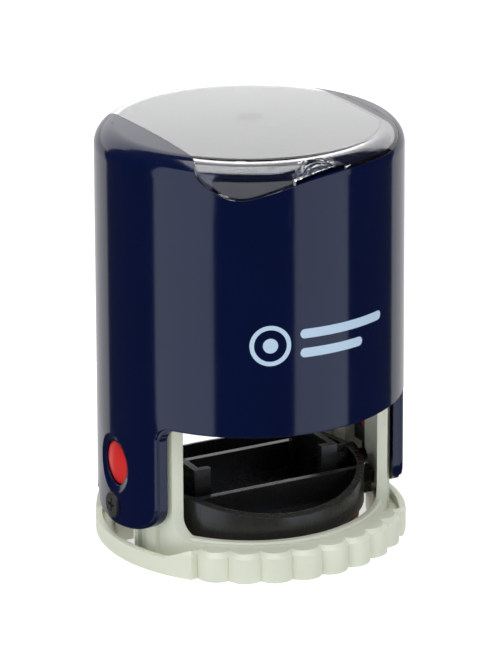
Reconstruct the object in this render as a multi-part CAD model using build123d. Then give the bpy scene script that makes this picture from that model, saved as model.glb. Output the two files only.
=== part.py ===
"""Round self-inking stamp: a sprung housing slides over a frame and turns a die carrier from pad to paper.

Frame: millimetres, +Z up, origin on the table plane at the centre of the base ring. The axle lies along X and
the front faces -Y. The stamp is modelled held down, with its print face PRINT_GAP above the table.
"""
from build123d import *
import math
import os

# ---- the print and the carrier that turns it -------------------------------------------------------------
DIE_R = 20.0              # radius of the rubber die, a 40 mm print
DIE_T = 2.3               # rubber thickness
DIE_RELIEF = 0.9          # height of the raised border and pattern of the rubber
FOAM_T = 0.8              # adhesive foam between rubber and carrier
FOAM_MARGIN = 0.3         # foam is this much smaller than the rubber
PRINT_GAP = 1.5           # print face above the table in the held-down pose
CARRIER_R = 20.9          # outer radius of the dished carrier
CARRIER_WALL = 1.3
CARRIER_FLOOR = 1.4
RIM_FRONT_H = 4.5         # carrier rim height above its own underside, at front and back
RIM_SIDE_H = 7.4          # rim height beside the axle
RIM_FLAT_Y = 10.4         # the rim is level out to here, then slopes down to the front and the back
RIB_Y = 9.05              # the two ribs across the dish
RIB_H = 6.5
RIB_T = 1.2
YOKE_X = 14.7             # outer face of the two uprights of the yoke
YOKE_T = 1.3
YOKE_Y = 6.3              # the yoke walls run between these
YOKE_H = 10.6
YOKE_LIP = 3.3            # width of the lips turned inward at the ends of the yoke walls

# ---- the axle and the cam --------------------------------------------------------------------------------
AXLE_Z = 9.1              # axle height in the held-down pose
AXLE_R = 1.5
AXLE_RUN = 0.05           # running clearance between axle pin and carrier
AXLE_INNER_X = 16.6       # inner end of each axle pin
HEAD_R = 2.32             # head of the axle pin
HEAD_T = 0.9
HEAD_PROUD = 0.35         # the head stands out of the leg by this much
BOSS_R = 3.0              # boss of the carrier around each axle pin
BOSS_X = 21.7             # outer face of the boss and of the follower lug
FOLLOWER_Y = -6.0         # follower pin, from the axle
FOLLOWER_DZ = -1.9
FOLLOWER_R = 1.2
FOLLOWER_X = 22.45
LUG_T = 1.6               # lug that carries the follower pin

# ---- motion ----------------------------------------------------------------------------------------------
TURN_STROKE = 30.0        # housing travel over which the carrier makes its half turn
INK_DWELL = 5.0           # straight travel at the top that brings the die up to the pad
PAD_CLEAR = 0.12          # gap between pad and print face with the housing fully up

# ---- frame -----------------------------------------------------------------------------------------------
BASE_R = 28.6
BASE_H = 5.4
RING_IN_R = 22.6
COLLAR_R = 24.3           # outer radius of the raised collar round the ring's hole
COLLAR_H = 6.1
COLLAR_ROUND = 0.5
SCALLOP_STEP = 12.0       # degrees
SCALLOP_COUNT = 8         # on the front, and as many on the back
SCALLOP_DEPTH = 1.25
UPRIGHT_IN_R = 23.2
UPRIGHT_OUT_R = 25.1
UPRIGHT_Y = 12.0          # half width of each upright
SLOT_Y = 3.6              # half width of the axle slot
SLOT_REACH = 27.1         # the slot runs through the ring out to this radius
CHANNEL_X = 22.75         # flat inner channel of each upright
CHANNEL_Y = 8.4
CAM_X = 22.0              # inner face of the raised cam blocks
CAM_CLEAR = 0.2
RECESS_Z = 1.9            # floor of the pocket under each leg
RECESS_RIM = 3.2          # rail that is left of the flange outside that pocket
RECESS_RIM_R = 27.4
RECESS_Y = 13.6
RECESS_SLOPE = 4.5        # length over which the flange slopes down to that rail
GUSSET_R = 4.2            # concave foot between each upright and the collar
GUIDE_RIBS = ((SLOT_Y, 4.6), (6.9, 9.2))     # guide ribs on each half of the uprights
PAD_BAY_X = 20.75         # half width of the bay that holds the pad tray
LEDGE_X = 20.3
LEDGE_T = 1.0
CUP_WALL = 1.6
CUP_H = 9.1
CROWN_T = 1.6
WELL_POST_R = 4.6         # post inside the spring
WELL_POST_H = 6.0
POST_BORE_R = 2.6

# ---- ink pad ---------------------------------------------------------------------------------------------
PAD_T = 3.4
PAD_PROUD = 0.9           # pad face below the tray's rim
PAD_R = 19.8
TRAY_R = 23.6
TRAY_FLOOR = 1.4
TRAY_FIT = 0.2
GRIP_RIBS = 5             # finger ribs on the front of the tray

# ---- housing ---------------------------------------------------------------------------------------------
HOUSE_R = 28.1            # outer radius at the legs
HOUSE_TOP_R = 27.72       # outer radius at the start of the shoulder
HOUSE_WALL = 2.0
LEG_Z = 5.6               # underside of the legs
LEG_Y = 12.15             # half width of each leg
LEG_RISE = 6.0            # height over which the foot of a leg rounds into its sides
RIM_Z = 27.3              # underside of the housing between the legs
RIM_CORNER = 3.0
SKIN_T = 0.6              # outer layer of the wall, which ends a step above the inner one
SKIN_STEP = 0.35
SHOULDER_R = 3.9
DOME_R = 420.0            # radius of the gently domed top
ROOF_T = 3.4
NECK_H = 5.3              # height of the narrower room under the roof
HEAD_CLEAR = 0.38         # above the spring cup at the end of the stroke
UPPER_IN_R = 23.6
UPPER_CHAMFER = 1.6
RUN_GAP = 0.25            # between the housing's bore and the frame's cup

# ---- lock buttons ----------------------------------------------------------------------------------------
BUTTON_Z = 17.1
BUTTON_R = 3.95
BUTTON_FACE_X = 27.75
BUTTON_DOME = 0.8
BUTTON_HOLE = 0.2
DISH_R = 5.7              # shallow dish round each button
DISH_DEPTH = 1.3
DISH_STRETCH = 1.22       # the dish is wider than it is high
KEEPER_H = 10.6           # bar behind the wall that keeps the button in
KEEPER_Y = 3.2
KEEPER_T = 0.9
KEEPER_X = 23.7           # inner face of that bar
KEEPER_FIT = 0.02
STEM_R = 2.9
STEM_TIP_R = 1.9          # the stem is thinner where it passes through the bar
BUTTON_BACK_X = 25.9      # back of the button's round face

# ---- index window ----------------------------------------------------------------------------------------
WINDOW_T = 1.15
WINDOW_GAP = 0.08
WINDOW_EDGE = (           # front view of the window's edge: across, and down from the top of the crown
    (-19.0, -1.4), (-19.2, 0.6), (-20.1, 2.9), (-18.1, 5.7), (-15.2, 7.2), (-11.5, 6.7), (-5.1, 4.85),
    (4.0, 3.4), (9.4, 3.15), (16.0, 3.1), (20.0, 2.5), (22.3, 1.2), (22.9, -1.4))
CARD_T = 0.25
CARD_R = 23.3
CARD_X0, CARD_X1 = -18.7, 20.8
CARD_GAP = 0.03
CARD_FIT = 0.15
NOTCH_X0, NOTCH_X1 = -5.3, 4.3
NOTCH_DEPTH = 0.6
NOTCH_BALL_R = 60.0       # thumb recess, sunk square to the shoulder at this lean
NOTCH_LEAN = 20.0
SLIT_W = 0.75             # gap under the window's edge, below the thumb recess
SLIT_DEPTH = 1.1
PEG_R = 0.8               # snap pegs under the window's drape
PEG_RING_R = 24.6
PEG_X = 8.0
PEG_TOP, PEG_LOW = 2.3, 5.4         # down from the top of the crown
PEG_FIT = 0.1

# ---- return spring ---------------------------------------------------------------------------------------
SPRING_WIRE = 1.1
SPRING_R = 7.2            # mean radius
SPRING_TURNS = 7
PLUNGER_R = 2.2           # guide rod under the roof
PLUNGER_FLANGE_R = 9.4
PLUNGER_FLANGE_T = 1.2

# ---- places worked out from the sizes above --------------------------------------------------------------
DIE_FACE_Z = PRINT_GAP
CARRIER_Z = DIE_FACE_Z + DIE_T + FOAM_T            # underside of the carrier
FACE_DROP = AXLE_Z - DIE_FACE_Z                    # axle to print face
LIFT_LOW, LIFT_HIGH = -PRINT_GAP, INK_DWELL
PAD_Z = AXLE_Z + TURN_STROKE + INK_DWELL + FACE_DROP + PAD_CLEAR
TRAY_Z = PAD_Z + PAD_PROUD                         # rim of the upturned tray
TRAY_TOP = PAD_Z + PAD_T + TRAY_FLOOR
CROWN_UNDER = TRAY_TOP + TRAY_FIT
CROWN_TOP = CROWN_UNDER + CROWN_T
CUP_TOP = CROWN_TOP + CUP_H
HOUSE_IN_R = HOUSE_R - HOUSE_WALL
CUP_R = HOUSE_IN_R - RUN_GAP                       # outer radius of the spring cup on top of the frame
HEAD_ROOM_Z = CUP_TOP + PRINT_GAP + HEAD_CLEAR     # below this the inside keeps its full bore
ROOF_Z = HEAD_ROOM_Z + NECK_H
CROWN_Z = ROOF_Z + ROOF_T
DOME_Z = CROWN_Z - DOME_R                          # centre of the dome
BEND_R = HOUSE_TOP_R - SHOULDER_R                  # centre of the shoulder rounding
BEND_Z = DOME_Z + math.sqrt((DOME_R - SHOULDER_R) ** 2 - BEND_R ** 2)
UP_TRAVEL = TURN_STROKE + INK_DWELL
SLOT_TOP = AXLE_Z + UP_TRAVEL + BOSS_R + 0.6
KEEPER_TOP = BUTTON_Z + UP_TRAVEL + KEEPER_H / 2 + 0.8
FRAME_HALF = 40.0                                  # larger than any radius here, for cutting tools


def box(x0, x1, y0, y1, z0, z1):
    """Box between two corners."""
    return Pos((x0 + x1) / 2, (y0 + y1) / 2, (z0 + z1) / 2) * Box(x1 - x0, y1 - y0, z1 - z0)


def disc(radius, z0, z1):
    """Upright cylinder on the Z axis."""
    return Pos(0, 0, (z0 + z1) / 2) * Cylinder(radius, z1 - z0)


def tube(outer, inner, z0, z1):
    """Upright hollow cylinder on the Z axis."""
    return disc(outer, z0, z1) - disc(inner, z0 - 1, z1 + 1)


def rod_x(radius, x0, x1, y, z):
    """Cylinder along X."""
    return Pos((x0 + x1) / 2, y, z) * Rot(0, 90, 0) * Cylinder(radius, x1 - x0)


def both_sides(shape):
    """A shape and its mirror image in the YZ plane."""
    return shape + mirror(shape, Plane.YZ)


def front_and_back(shape):
    """A shape and its mirror image in the XZ plane."""
    return shape + mirror(shape, Plane.XZ)


def polar(radius, degrees):
    """Point in the XY plane; 0 degrees faces the front, -Y."""
    a = math.radians(degrees)
    return (radius * math.sin(a), -radius * math.cos(a))


# ---- carrier, die and pins -------------------------------------------------------------------------------
def die_carrier():
    """Dished round carrier with ribs, yoke, axle bosses and the two cam follower pins."""
    z = CARRIER_Z
    side_top = z + RIM_SIDE_H
    front_top = z + RIM_FRONT_H
    dish = disc(CARRIER_R, z, side_top) - disc(CARRIER_R - CARRIER_WALL, z + CARRIER_FLOOR, side_top + 1)
    dish = chamfer(dish.faces().sort_by(Axis.Z)[0].edges(), 0.45)
    reach = CARRIER_R + 2
    slope = (front_top - side_top) / (CARRIER_R - RIM_FLAT_Y)
    low = front_top + slope * (reach - CARRIER_R)
    wedge = Plane.YZ * Polygon(
        (-RIM_FLAT_Y, side_top), (-reach, low), (-reach, side_top + 1), (-RIM_FLAT_Y, side_top + 1),
        align=None)
    cut = extrude(wedge, CARRIER_R + 2, both=True)
    dish -= cut
    dish -= mirror(cut, Plane.XZ)
    inner = disc(CARRIER_R - CARRIER_WALL / 2, z, side_top + YOKE_H)
    for side in (-1, 1):
        y = side * RIB_Y
        rib = box(-CARRIER_R, CARRIER_R, y - RIB_T / 2, y + RIB_T / 2, z + 0.5, z + RIB_H)
        dish += rib & inner
        wall = box(YOKE_X - YOKE_T, YOKE_X, -YOKE_Y, YOKE_Y, z + 0.5, z + YOKE_H)
        for end in (-1, 1):
            y = end * (YOKE_Y - YOKE_T / 2)
            wall += box(YOKE_X - YOKE_LIP, YOKE_X, y - YOKE_T / 2, y + YOKE_T / 2, z + 0.5, z + YOKE_H)
        dish += wall if side > 0 else mirror(wall, Plane.YZ)
    boss = rod_x(BOSS_R, YOKE_X - 0.2, BOSS_X, 0, AXLE_Z)
    fy, fz = FOLLOWER_Y, AXLE_Z + FOLLOWER_DZ
    root_x = CARRIER_R - CARRIER_WALL - 1.0
    lug = box(root_x, BOSS_X, fy - LUG_T / 2, fy + LUG_T / 2, z, fz + FOLLOWER_R + 1.2)
    lug += rod_x(FOLLOWER_R, CARRIER_R - CARRIER_WALL, FOLLOWER_X, fy, fz)
    dish += both_sides(boss + lug)
    return dish - both_sides(rod_x(AXLE_R + AXLE_RUN, YOKE_X - YOKE_T - 5, BOSS_X + 1, 0, AXLE_Z))


def die_foam():
    """Adhesive foam disc between carrier and rubber."""
    return disc(DIE_R - FOAM_MARGIN, DIE_FACE_Z + DIE_T, CARRIER_Z)


def rubber_die():
    """Rubber die: a backing disc with a raised double border and plain raised bars."""
    back = disc(DIE_R, DIE_FACE_Z + DIE_RELIEF, DIE_FACE_Z + DIE_T)
    z0, z1 = DIE_FACE_Z, DIE_FACE_Z + DIE_RELIEF + 0.1
    back += tube(DIE_R - 0.5, DIE_R - 1.6, z0, z1)
    back += tube(DIE_R - 6.2, DIE_R - 6.9, z0, z1)
    bar_step = 4.0
    for row, half in ((-1, 7.0), (0, 10.5), (1, 7.0)):
        back += box(-half, half, row * bar_step - 0.9, row * bar_step + 0.9, z0, z1)
    return back


def axle_pin(side):
    """Axle pin with a cross-recessed head, pressed into one leg; its inner end turns in the carrier."""
    seat = HOUSE_R + HEAD_PROUD
    pin = rod_x(AXLE_R, AXLE_INNER_X, seat - HEAD_T + 0.1, 0, AXLE_Z)
    pin += rod_x(HEAD_R, seat - HEAD_T, seat, 0, AXLE_Z)
    pin -= box(seat - 0.45, seat + 1, -1.3, 1.3, AXLE_Z - 0.28, AXLE_Z + 0.28)
    pin -= box(seat - 0.45, seat + 1, -0.28, 0.28, AXLE_Z - 1.3, AXLE_Z + 1.3)
    return pin if side > 0 else mirror(pin, Plane.YZ)


# ---- frame -----------------------------------------------------------------------------------------------
def base_outline():
    """Outline of the base: scalloped to the front and back, plain round beside the legs."""
    half = SCALLOP_COUNT * SCALLOP_STEP / 2
    valley = BASE_R - SCALLOP_DEPTH
    edges = []
    for turn in (0, 180):
        for i in range(SCALLOP_COUNT):
            a = turn - half + i * SCALLOP_STEP
            edges.append(ThreePointArc(
                polar(valley, a), polar(BASE_R, a + SCALLOP_STEP / 2), polar(valley, a + SCALLOP_STEP)))
        start, end = turn + half, turn + 180 - half
        edges.append(Line(polar(valley, start), polar(BASE_R, start + 1.5)))
        edges.append(ThreePointArc(
            polar(BASE_R, start + 1.5), polar(BASE_R, (start + end) / 2), polar(BASE_R, end - 1.5)))
        edges.append(Line(polar(BASE_R, end - 1.5), polar(valley, end)))
    return make_face(edges)


def follower_point(turned, lift):
    """Follower pin centre (Y, Z) after the carrier has turned by that many radians and the axle has risen."""
    c, s = math.cos(turned), math.sin(turned)
    return (FOLLOWER_Y * c - FOLLOWER_DZ * s, AXLE_Z + lift + FOLLOWER_Y * s + FOLLOWER_DZ * c)


def cam_groove():
    """Space that the follower pin sweeps: two straight ends and the turn between them."""
    width = 2 * (FOLLOWER_R + CAM_CLEAR)
    turn_steps = 20
    low, high = LIFT_LOW - width / 2, LIFT_HIGH + width / 2
    tracks = [Polyline(follower_point(0, low), follower_point(0, high))]
    shares = [i / turn_steps for i in range(turn_steps + 1)]
    tracks.append(Polyline(*[follower_point(math.pi * share, TURN_STROKE * share) for share in shares]))
    tracks.append(Polyline(
        follower_point(math.pi, TURN_STROKE + low), follower_point(math.pi, TURN_STROKE + high)))
    groove = None
    for track in tracks:
        flat = trace(track, width)
        solid = extrude(Plane.YZ * flat, CHANNEL_X + 0.01)
        groove = solid if groove is None else groove + solid
    return groove


def base_frame():
    """One moulding: scalloped base ring and two slotted uprights with cam blocks and the bay for the pad."""
    ring = extrude(base_outline(), BASE_H)
    ring = chamfer(ring.faces().sort_by(Axis.Z)[-1].edges(), 0.8)
    ring += disc(COLLAR_R, 0, COLLAR_H)
    ring -= disc(RING_IN_R, -1, COLLAR_H + 1)
    collar_edges = ring.faces().sort_by(Axis.Z)[-1].edges()
    ring = fillet(collar_edges, COLLAR_ROUND)
    high = 2 * BASE_H - RECESS_RIM
    slope_end = RECESS_Y + RECESS_SLOPE * (high - RECESS_RIM) / (BASE_H - RECESS_RIM)
    slanted = Plane.YZ * Polygon(
        (-RECESS_Y, RECESS_RIM), (RECESS_Y, RECESS_RIM), (slope_end, high), (-slope_end, high), align=None)
    pocket = extrude(slanted, FRAME_HALF)
    pocket += box(0, FRAME_HALF, -RECESS_Y, RECESS_Y, RECESS_Z, RECESS_RIM + 0.1)
    pocket -= tube(FRAME_HALF, RECESS_RIM_R, 0, RECESS_RIM)
    pocket -= disc(UPRIGHT_OUT_R, 0, FRAME_HALF)
    frame = ring - both_sides(pocket)

    upright = tube(UPRIGHT_OUT_R, UPRIGHT_IN_R, 0.6, CROWN_UNDER) & box(
        0, FRAME_HALF, -UPRIGHT_Y, UPRIGHT_Y, 0, CROWN_UNDER)
    channel_top = TRAY_Z - LEDGE_T - 1.0
    for end in (-1, 1):
        block = box(CAM_X, CHANNEL_X + 0.2, SLOT_Y, CHANNEL_Y, COLLAR_H - 3.0, channel_top)
        layer = tube(CUP_R, UPRIGHT_OUT_R - 0.3, RECESS_Z - 0.2, CROWN_UNDER)
        for near, far in GUIDE_RIBS:
            block += layer & box(0, FRAME_HALF, near, far, 0, CROWN_UNDER)
        upright += block if end > 0 else mirror(block, Plane.XZ)
    upright += gussets()
    upright += disc(UPRIGHT_OUT_R, TRAY_Z - LEDGE_T, CROWN_UNDER) & box(
        PAD_BAY_X, FRAME_HALF, -UPRIGHT_Y, UPRIGHT_Y, 0, CROWN_UNDER)
    upright += disc(UPRIGHT_OUT_R, TRAY_Z - LEDGE_T - 0.2, TRAY_Z - 0.2) & box(
        LEDGE_X, FRAME_HALF, -UPRIGHT_Y, UPRIGHT_Y, 0, CROWN_UNDER)
    frame += both_sides(upright)

    cuts = box(0, CAM_X, -CHANNEL_Y, CHANNEL_Y, -1, channel_top)
    cuts += cam_groove()
    cuts += box(0, PAD_BAY_X, -UPRIGHT_Y - 1, UPRIGHT_Y + 1, TRAY_Z - 0.2, CROWN_UNDER + 1)
    cuts += box(0, FRAME_HALF, -SLOT_Y, SLOT_Y, -1, RECESS_RIM) & disc(SLOT_REACH, -1, RECESS_RIM)
    cuts += box(0, RECESS_RIM_R - 1.0, -SLOT_Y, SLOT_Y, RECESS_RIM - 0.1, SLOT_TOP)
    cuts += keeper_slot()
    return frame - both_sides(cuts)


def keeper_slot():
    """Slot down the outside of the right upright and of the crown, in which the button's keeper runs."""
    return box(UPRIGHT_IN_R + 0.2, FRAME_HALF, -SLOT_Y, SLOT_Y, SLOT_TOP - 1, KEEPER_TOP)


def frame_crown():
    """Round crown that snaps on the uprights over the pad and holds the spring in its cup."""
    crown = disc(CUP_R, CROWN_UNDER, CUP_TOP) - disc(CUP_R - CUP_WALL, CROWN_TOP, CUP_TOP + 1)
    crown = chamfer(crown.faces().sort_by(Axis.Z)[-1].edges().sort_by(SortBy.LENGTH)[-1], 0.5)
    crown += disc(WELL_POST_R, CROWN_TOP - 0.2, CROWN_TOP + WELL_POST_H)
    crown -= disc(POST_BORE_R, CROWN_TOP - 0.4, CROWN_TOP + WELL_POST_H + 1)
    return crown - both_sides(keeper_slot())


def gussets():
    """Concave feet between the front and back edges of an upright and the collar."""
    y0, z0 = UPRIGHT_Y, COLLAR_H - 0.8
    foot = box(0, FRAME_HALF, y0 - 0.2, y0 + GUSSET_R, z0, z0 + GUSSET_R)
    foot -= rod_x(GUSSET_R, -1, FRAME_HALF + 1, y0 + GUSSET_R, z0 + GUSSET_R)
    foot &= tube(UPRIGHT_OUT_R, UPRIGHT_IN_R, 0, FRAME_HALF)
    foot &= box(0, FRAME_HALF, 0, FRAME_HALF, 0, FRAME_HALF)
    return foot + mirror(foot, Plane.XZ)


# ---- ink pad ---------------------------------------------------------------------------------------------
def ink_pad_tray():
    """Upturned tray that slides into the frame from the front, with finger ribs on its nose."""
    outer_x = PAD_BAY_X - TRAY_FIT
    tray = disc(TRAY_R, TRAY_Z, TRAY_TOP) & box(-outer_x, outer_x, -FRAME_HALF, FRAME_HALF, TRAY_Z, TRAY_TOP)
    tray -= disc(PAD_R + 0.15, TRAY_Z - 1, PAD_Z + PAD_T)
    step = 3.0
    for i in range(GRIP_RIBS):
        x = (i - (GRIP_RIBS - 1) / 2) * step
        y = -math.sqrt(TRAY_R ** 2 - x ** 2)
        tray += box(x - 0.6, x + 0.6, y - 0.5, y + 1.0, TRAY_Z + 0.2, TRAY_TOP - 0.4)
    return tray


def ink_pad():
    """Felt ink pad, facing down."""
    return disc(PAD_R, PAD_Z, PAD_Z + PAD_T)


# ---- housing ---------------------------------------------------------------------------------------------
def outer_profile(inset=0.0):
    """Half section of the housing's outside, moved inward by inset."""
    side_r, dome, bend = HOUSE_TOP_R - inset, DOME_R - inset, SHOULDER_R - inset
    lean = math.asin(BEND_R / (DOME_R - SHOULDER_R))
    middle = (lean + math.pi / 2) / 2
    join = (dome * math.sin(lean), DOME_Z + dome * math.cos(lean))
    bend_mid = (BEND_R + bend * math.sin(middle), BEND_Z + bend * math.cos(middle))
    dome_mid = (dome * math.sin(lean / 2), DOME_Z + dome * math.cos(lean / 2))
    return [
        Line((0, LEG_Z - 1), (HOUSE_R - inset, LEG_Z - 1)),
        Line((HOUSE_R - inset, LEG_Z - 1), (side_r, BEND_Z)),
        ThreePointArc((side_r, BEND_Z), bend_mid, join),
        ThreePointArc(join, dome_mid, (0, DOME_Z + dome)),
        Line((0, DOME_Z + dome), (0, LEG_Z - 1)),
    ]


def outside(inset=0.0):
    """Solid of revolution of the housing's outside, moved inward by inset."""
    return revolve(Plane.XZ * make_face(outer_profile(inset)), Axis.Z)


def window_edge(grow):
    """Front view of the index window's edge (X, Z), moved outward by grow: low at the front left."""
    swoop = Spline(*[(x, CROWN_Z - down) for x, down in WINDOW_EDGE])
    steps = 30
    points = []
    for i in range(steps + 1):
        place, along = swoop @ (i / steps), swoop % (i / steps)
        points.append((place.X + grow * along.Y, place.Y - grow * along.X))
    first, last, high = points[0], points[-1], CROWN_Z + 10
    return make_face([Spline(*points), Line(last, (last[0], high)), Line((last[0], high), (first[0], high)),
                      Line((first[0], high), first)])


def window_zone(grow=0.0):
    """Region of space that the index window takes; its edge looks the same through to the back."""
    return extrude(Plane.XZ * window_edge(grow), FRAME_HALF, both=True)


def pry_notch():
    """Shallow thumb recess in the window's front drape, and its twin at the back."""
    lean, reach = math.radians(NOTCH_LEAN), SHOULDER_R - NOTCH_DEPTH + NOTCH_BALL_R
    y, z = BEND_R + reach * math.cos(lean), BEND_Z + reach * math.sin(lean)
    return front_and_back(Pos((NOTCH_X0 + NOTCH_X1) / 2, -y, z) * Sphere(NOTCH_BALL_R))


def pry_slit():
    """Gap between housing and window below the thumb recess, and its twin at the back."""
    strip = window_zone(WINDOW_GAP) - window_zone(-SLIT_W)
    return strip & box(NOTCH_X0, NOTCH_X1, -FRAME_HALF, FRAME_HALF, CROWN_Z - 10, CROWN_Z)


def pegs(fit=0.0):
    """The window's snap pegs, which sit in blind holes of the shoulder."""
    y = -math.sqrt(PEG_RING_R ** 2 - PEG_X ** 2)
    middle = CROWN_Z - (PEG_TOP + PEG_LOW + fit) / 2
    peg = Pos(PEG_X, y, middle) * Cylinder(PEG_R + fit, PEG_LOW - PEG_TOP + fit)
    return front_and_back(both_sides(peg))


def housing():
    """Outer housing: open bore, two legs, domed top with a seat for the window, button dishes, pin holes."""
    shell = outside()
    shell -= disc(HOUSE_IN_R, 0, HEAD_ROOM_Z)
    neck = disc(UPPER_IN_R, HEAD_ROOM_Z - 1, ROOF_Z)
    shell -= chamfer(neck.faces().sort_by(Axis.Z)[-1].edges(), UPPER_CHAMFER)
    shell -= below_rim(0)
    shell -= below_rim(SKIN_STEP) - disc(HOUSE_R - SKIN_T, 0, RIM_Z + RIM_CORNER)
    shell -= (outside() - outside(WINDOW_T + WINDOW_GAP)) & window_zone(WINDOW_GAP)
    shell -= pry_slit() - outside(WINDOW_T + SLIT_DEPTH)
    shell -= card_zone(WINDOW_T - 0.1, WINDOW_T + CARD_T + 2 * CARD_GAP, CARD_FIT)
    shell -= both_sides(rod_x(BUTTON_R + BUTTON_HOLE, HOUSE_IN_R - 4, FRAME_HALF, 0, BUTTON_Z))
    shell -= both_sides(button_dish())
    shell -= both_sides(rod_x(AXLE_R, HOUSE_IN_R - 4, FRAME_HALF, 0, AXLE_Z))
    shell -= both_sides(rod_x(HEAD_R, HOUSE_R + HEAD_PROUD - HEAD_T, FRAME_HALF, 0, AXLE_Z))
    return shell - pegs(PEG_FIT)


def below_rim(step):
    """Everything that is cut away between and below the legs, reaching a step further into the wall."""
    top = RIM_Z + step
    field = box(-FRAME_HALF, FRAME_HALF, -FRAME_HALF, FRAME_HALF, 0, top)
    return field - extrude(Plane.YZ * leg_outline(step), FRAME_HALF, both=True)


def leg_outline(step):
    """Side view (Y, Z) of a leg with its rounded foot and the fillets into the rim, moved inward by step."""
    y, low, top, f = LEG_Y - step, LEG_Z + step, RIM_Z + step, RIM_CORNER
    k = 1 - math.sqrt(0.5)
    foot = ((1.0, LEG_RISE), (0.93, 3.4), (0.7, 1.45), (0.37, 0.36))       # share of the half width, rise
    right = [(y * share, low + rise) for share, rise in foot]
    left = [(-across, up) for across, up in right]
    edges = [
        Spline(*left, (0, low), *reversed(right), tangents=((0, -1), (0, 1))),
        Line(right[0], (y, top - f)),
        ThreePointArc((y, top - f), (y + f * k, top - f * k), (y + f, top)),
        Line((y + f, top), (y + f, top + 1)),
        Line((y + f, top + 1), (-y - f, top + 1)),
        Line((-y - f, top + 1), (-y - f, top)),
        ThreePointArc((-y - f, top), (-y - f * k, top - f * k), (-y, top - f)),
        Line((-y, top - f), left[0]),
    ]
    return make_face(edges)


def button_dish():
    """Shallow dish round a lock button, wider than it is high."""
    depth = DISH_DEPTH
    ball = (DISH_R ** 2 + depth ** 2) / (2 * depth)
    return Pos(HOUSE_R - depth + ball, 0, BUTTON_Z) * scale(Sphere(ball), by=(1, DISH_STRETCH, 1))


def lock_button(side):
    """Round lock button with a domed face and a stepped stem."""
    ball = (BUTTON_R ** 2 + BUTTON_DOME ** 2) / (2 * BUTTON_DOME)
    lean = math.asin(BUTTON_R / ball) / 2
    rim, back, step = BUTTON_FACE_X - BUTTON_DOME, BUTTON_BACK_X, KEEPER_X + KEEPER_T
    mid = (ball * math.sin(lean), BUTTON_FACE_X - ball * (1 - math.cos(lean)))
    profile = make_face([
        Polyline((0, BUTTON_FACE_X), (0, KEEPER_X), (STEM_TIP_R, KEEPER_X), (STEM_TIP_R, step),
                 (STEM_R, step), (STEM_R, back), (BUTTON_R, back), (BUTTON_R, rim)),
        ThreePointArc((BUTTON_R, rim), mid, (0, BUTTON_FACE_X))])
    button = Pos(0, 0, BUTTON_Z) * Rot(0, 90, 0) * revolve(Plane.XZ * profile, Axis.Z)
    return button if side > 0 else mirror(button, Plane.YZ)


def button_keeper(side):
    """Bar pressed on the button's stem behind the wall, which keeps the button in."""
    half, end = KEEPER_H / 2, KEEPER_X + KEEPER_T
    keeper = box(KEEPER_X, end, -KEEPER_Y, KEEPER_Y, BUTTON_Z - half, BUTTON_Z + half)
    keeper -= rod_x(STEM_TIP_R + KEEPER_FIT, KEEPER_X - 1, end + 1, 0, BUTTON_Z)
    return keeper if side > 0 else mirror(keeper, Plane.YZ)


# ---- index window and card -------------------------------------------------------------------------------
def index_window():
    """Clear snap-on window with four pegs under its drape."""
    pane = (outside() - outside(WINDOW_T)) & window_zone()
    pane -= pry_notch() + pry_slit()
    return pane + (pegs() & outside(WINDOW_T - 0.2))


def card_zone(depth0, depth1, grow):
    """Layer under the window between two depths, as large as the card and grown by that much."""
    layer = (outside(depth0) - outside(depth1)) & disc(CARD_R + grow, CROWN_Z - 5, CROWN_Z)
    return layer & box(CARD_X0 - grow, CARD_X1 + grow, -FRAME_HALF, FRAME_HALF, CROWN_Z - 5, CROWN_Z)


def index_card():
    """Card under the window, which shows the imprint."""
    return card_zone(WINDOW_T + CARD_GAP, WINDOW_T + CARD_GAP + CARD_T, 0)


# ---- return spring ---------------------------------------------------------------------------------------
def return_spring():
    """Compression spring between the frame's cup and the flange under the roof."""
    z0, z1 = CROWN_TOP + SPRING_WIRE / 2, ROOF_Z - PLUNGER_FLANGE_T - SPRING_WIRE / 2
    height = z1 - z0
    helix = Helix(height / SPRING_TURNS, height, SPRING_R)
    section = Plane(origin=helix @ 0, z_dir=helix % 0) * Circle(SPRING_WIRE / 2)
    return Pos(0, 0, z0) * sweep(section, path=helix)


def spring_plunger():
    """Guide rod with a flange that seats the spring under the roof."""
    flange_z = ROOF_Z - PLUNGER_FLANGE_T
    rod_low = CROWN_TOP + PRINT_GAP + 0.5
    return disc(PLUNGER_FLANGE_R, flange_z, ROOF_Z) + disc(PLUNGER_R, rod_low, flange_z + 0.1)


def main():
    """Builds each node and writes it to parts/."""
    os.makedirs("parts", exist_ok=True)
    nodes = {
        "base_frame": base_frame(),
        "frame_crown": frame_crown(),
        "ink_pad_tray": ink_pad_tray(),
        "ink_pad": ink_pad(),
        "die_carrier": die_carrier(),
        "die_foam": die_foam(),
        "rubber_die": rubber_die(),
        "left_axle_pin": axle_pin(-1),
        "right_axle_pin": axle_pin(1),
        "return_spring": return_spring(),
        "spring_plunger": spring_plunger(),
        "housing": housing(),
        "index_window": index_window(),
        "index_card": index_card(),
        "left_lock_button": lock_button(-1),
        "right_lock_button": lock_button(1),
        "left_button_keeper": button_keeper(-1),
        "right_button_keeper": button_keeper(1),
    }
    for name, shape in nodes.items():
        export_step(shape, f"parts/{name}.step")


main()
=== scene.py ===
"""Looks of a round self-inking stamp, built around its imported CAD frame.

Lengths are in metres in the part's frame: +Z up, +X along the axle, -Y the front, origin under the base ring.
"""
from __future__ import annotations

import logging
import math
from dataclasses import dataclass, field
from enum import Enum

import bmesh
import bpy
from mathutils import Matrix, Vector

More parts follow.
